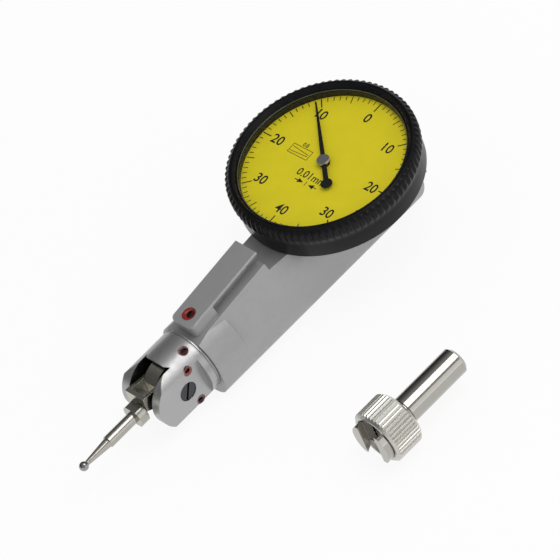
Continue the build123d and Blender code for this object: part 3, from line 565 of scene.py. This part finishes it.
SEAL_STEPS = 56
SEAL_ROWS = 9
LOCK_SEAL = (1.47 * MM, 0.24 * MM)
SET_SEAL = (1.05 * MM, 0.16 * MM)
TOP_SCREW_X = -46.8 * MM
TOP_SCREW_LEAN = math.radians(22.7)
TOP_SCREW_R = 7.01 * MM
CHEEK_SCREW_X = -49.0 * MM
CHEEK_SCREW_Y = -5.22 * MM
CHEEK_SCREW_RISE = 4.3 * MM


def seal(name, centre, normal, size, body, turn, look="lacquer"):
    """A lumpy ring of lacquer around a screw, thicker on the side that the turn gives."""
    radius, height = size
    normal = Vector(normal).normalized()
    side = normal.orthogonal().normalized()
    other = normal.cross(side)
    verts, faces = [], []
    for k in range(SEAL_STEPS):
        a = 2 * math.pi * k / SEAL_STEPS
        swell = 0.5 + 0.5 * math.cos(a - turn)
        wobble = 0.08 * math.sin(3 * a + turn) + 0.06 * math.sin(7 * a + 2 * turn) + 0.03 * math.sin(13 * a)
        width = radius * (0.28 + 0.34 * swell + 0.6 * wobble)
        crest = height * (0.45 + 0.5 * swell + wobble)
        along = side * math.cos(a) + other * math.sin(a)
        for j in range(SEAL_ROWS):
            t = j / (SEAL_ROWS - 1)
            # The lacquer climbs the recess's wall and thins out towards the slot.
            rise = crest * math.cos(t * math.pi / 2) ** 0.8
            verts.append(Vector(centre) + along * (radius - width * t) + normal * rise)
        verts.append(Vector(centre) + along * radius - normal * height * 0.3)
    step = SEAL_ROWS + 1
    for k in range(SEAL_STEPS):
        m = (k + 1) % SEAL_STEPS
        for j in range(step):
            n = (j + 1) % step
            faces.append((k * step + j, m * step + j, m * step + n, k * step + n))
    piece(name, mesh_of(name, verts, faces, True), look, body)


def make_seals():
    lock = middle("head_lock_screw")
    lock_top = top_of("head_lock_screw") - 0.02 * MM
    seal("lock_seal", (lock.x, lock.y, lock_top), (0, 0, 1), LOCK_SEAL, "frame", 1.4)
    out = Vector((0, -math.sin(TOP_SCREW_LEAN), math.cos(TOP_SCREW_LEAN)))
    top = Vector((TOP_SCREW_X, 0, AXIS_Z)) + out * TOP_SCREW_R
    seal("top_seal", top, out, SET_SEAL, "head", 2.0, "old_lacquer")
    for name, side, turn, look in (("upper_seal", 1, 0.6, "lacquer"), ("lower_seal", -1, 3.4, "old_lacquer")):
        at = Vector((CHEEK_SCREW_X, CHEEK_SCREW_Y, AXIS_Z + side * CHEEK_SCREW_RISE))
        seal(name, at, (0, -1, 0), SET_SEAL, "head", turn, look)


make_seals()


# Floor, light and camera

FLOOR_GLOW = 0.9
FLOOR_GREY = 0.86
FLOOR_HALF_SIZE = 6.0
SKY_LEVEL = 0.72
# How bright a mirror sees the studio, by the sine of the elevation: on the -Y side, where the camera
# stands, and on the +Y side. Between these two values of Y one side fades into the other.
NEAR_SIDE = ((0.0, 1.0), (0.05, 0.8), (0.2, 0.45), (1.0, 0.4))
FAR_SIDE = ((0.0, 1.0), (0.03, 1.0), (0.08, 0.1), (0.7, 0.12), (0.9, 0.35), (1.0, 0.4))
FADE = (-0.25, 0.15)


def pale_light(tree):
    """1 for what the eye, a mirror or a lens sees directly, and 0 for all other light."""
    path = add(tree, "LightPath").outputs
    seen = compute(tree, "MAXIMUM", path["Is Camera Ray"], path["Is Glossy Ray"])
    return compute(tree, "MAXIMUM", seen, path["Is Transmission Ray"])


def make_floor():
    bm = bmesh.new()
    bmesh.ops.create_grid(bm, x_segments=2, y_segments=2, size=FLOOR_HALF_SIZE)
    mesh = bpy.data.meshes.new("floor")
    bm.to_mesh(mesh)
    bm.free()
    floor = bpy.data.objects.new("floor", mesh)
    bpy.context.scene.collection.objects.link(floor)
    mat, tree, shader = surface("pale_floor", grey(FLOOR_GREY), 0.9)
    glow = add(tree, "Emission", Strength=1.0, Color=(1, 1, 1, 1))
    share = compute(tree, "MULTIPLY", pale_light(tree), FLOOR_GLOW)
    blend(tree, share, shader.outputs["BSDF"], glow.outputs["Emission"], tree.nodes["Material Output"])
    floor.data.materials.append(mat)


def make_world():
    world = bpy.data.worlds.new("sky")
    bpy.context.scene.world = world
    world.use_nodes = True
    tree = world.node_tree
    sky = tree.nodes["Background"]
    sky.inputs["Strength"].default_value = SKY_LEVEL
    sky.inputs["Color"].default_value = (1, 1, 1, 1)
    at = coordinates(tree, "Generated")
    sides = add(tree, "Mix", data_type="RGBA")
    link(tree, spread(tree, at["Y"], 0, 1, *FADE), sides.inputs["Factor"])
    for side, levels in (("A", NEAR_SIDE), ("B", FAR_SIDE)):
        ramp = add(tree, "ValToRGB")
        stops = ramp.color_ramp.elements
        while len(stops) < len(levels):
            stops.new(0.5)
        for stop, (height, level) in zip(stops, levels):
            stop.position = height
            stop.color = (*grey(level), 1)
        link(tree, at["Z"], ramp.inputs["Fac"])
        link(tree, ramp.outputs["Color"], sides.inputs[side])
    seen = add(tree, "Background", Strength=1.0)
    link(tree, sides.outputs["Result"], seen.inputs["Color"])
    blend(tree, pale_light(tree), sky.outputs["Background"], seen.outputs["Background"],
          tree.nodes["World Output"])


# The photograph looks down at 45.6 degrees, and its horizon is turned.
AIM = Vector((-0.02137, -0.003365, 0.009945))
VIEW_AZIMUTH = math.radians(-26.6)
VIEW_ELEVATION = math.radians(45.6)
VIEW_ROLL = math.radians(-25.2)
VIEW_DISTANCE = 4.0
LENS_PER_METRE = 329.0


def make_lamp(name, direction, distance, size, power):
    """A square soft light that looks at the object."""
    data = bpy.data.lights.new(name, "AREA")
    data.size = size
    data.energy = power
    lamp = bpy.data.objects.new(name, data)
    lamp.location = AIM + Vector(direction).normalized() * distance
    lamp.rotation_euler = Vector(direction).to_track_quat("Z", "Y").to_euler()
    bpy.context.scene.collection.objects.link(lamp)


def make_camera():
    a, e = VIEW_AZIMUTH, VIEW_ELEVATION
    back = Vector((math.sin(a) * math.cos(e), -math.cos(a) * math.cos(e), math.sin(e)))
    level = Vector((math.cos(a), math.sin(a), 0))
    rise = back.cross(level)
    right = level * math.cos(VIEW_ROLL) + rise * math.sin(VIEW_ROLL)
    up = back.cross(right)
    data = bpy.data.cameras.new("camera")
    data.sensor_width = 36
    data.lens = LENS_PER_METRE * VIEW_DISTANCE
    data.clip_start = 0.05
    data.clip_end = 40
    camera = bpy.data.objects.new("camera", data)
    turn = Matrix((right, up, back)).transposed().to_4x4()
    camera.matrix_world = Matrix.Translation(AIM + back * VIEW_DISTANCE) @ turn
    bpy.context.scene.collection.objects.link(camera)
    bpy.context.scene.camera = camera


make_floor()
make_world()
make_lamp("key", direction=(0.31, -0.3, 0.9), distance=0.6, size=0.34, power=1.1)
make_lamp("fill", direction=(0.3, -0.95, 0.3), distance=0.8, size=0.45, power=0.5)
make_camera()
bpy.context.scene.view_settings.view_transform = "Standard"
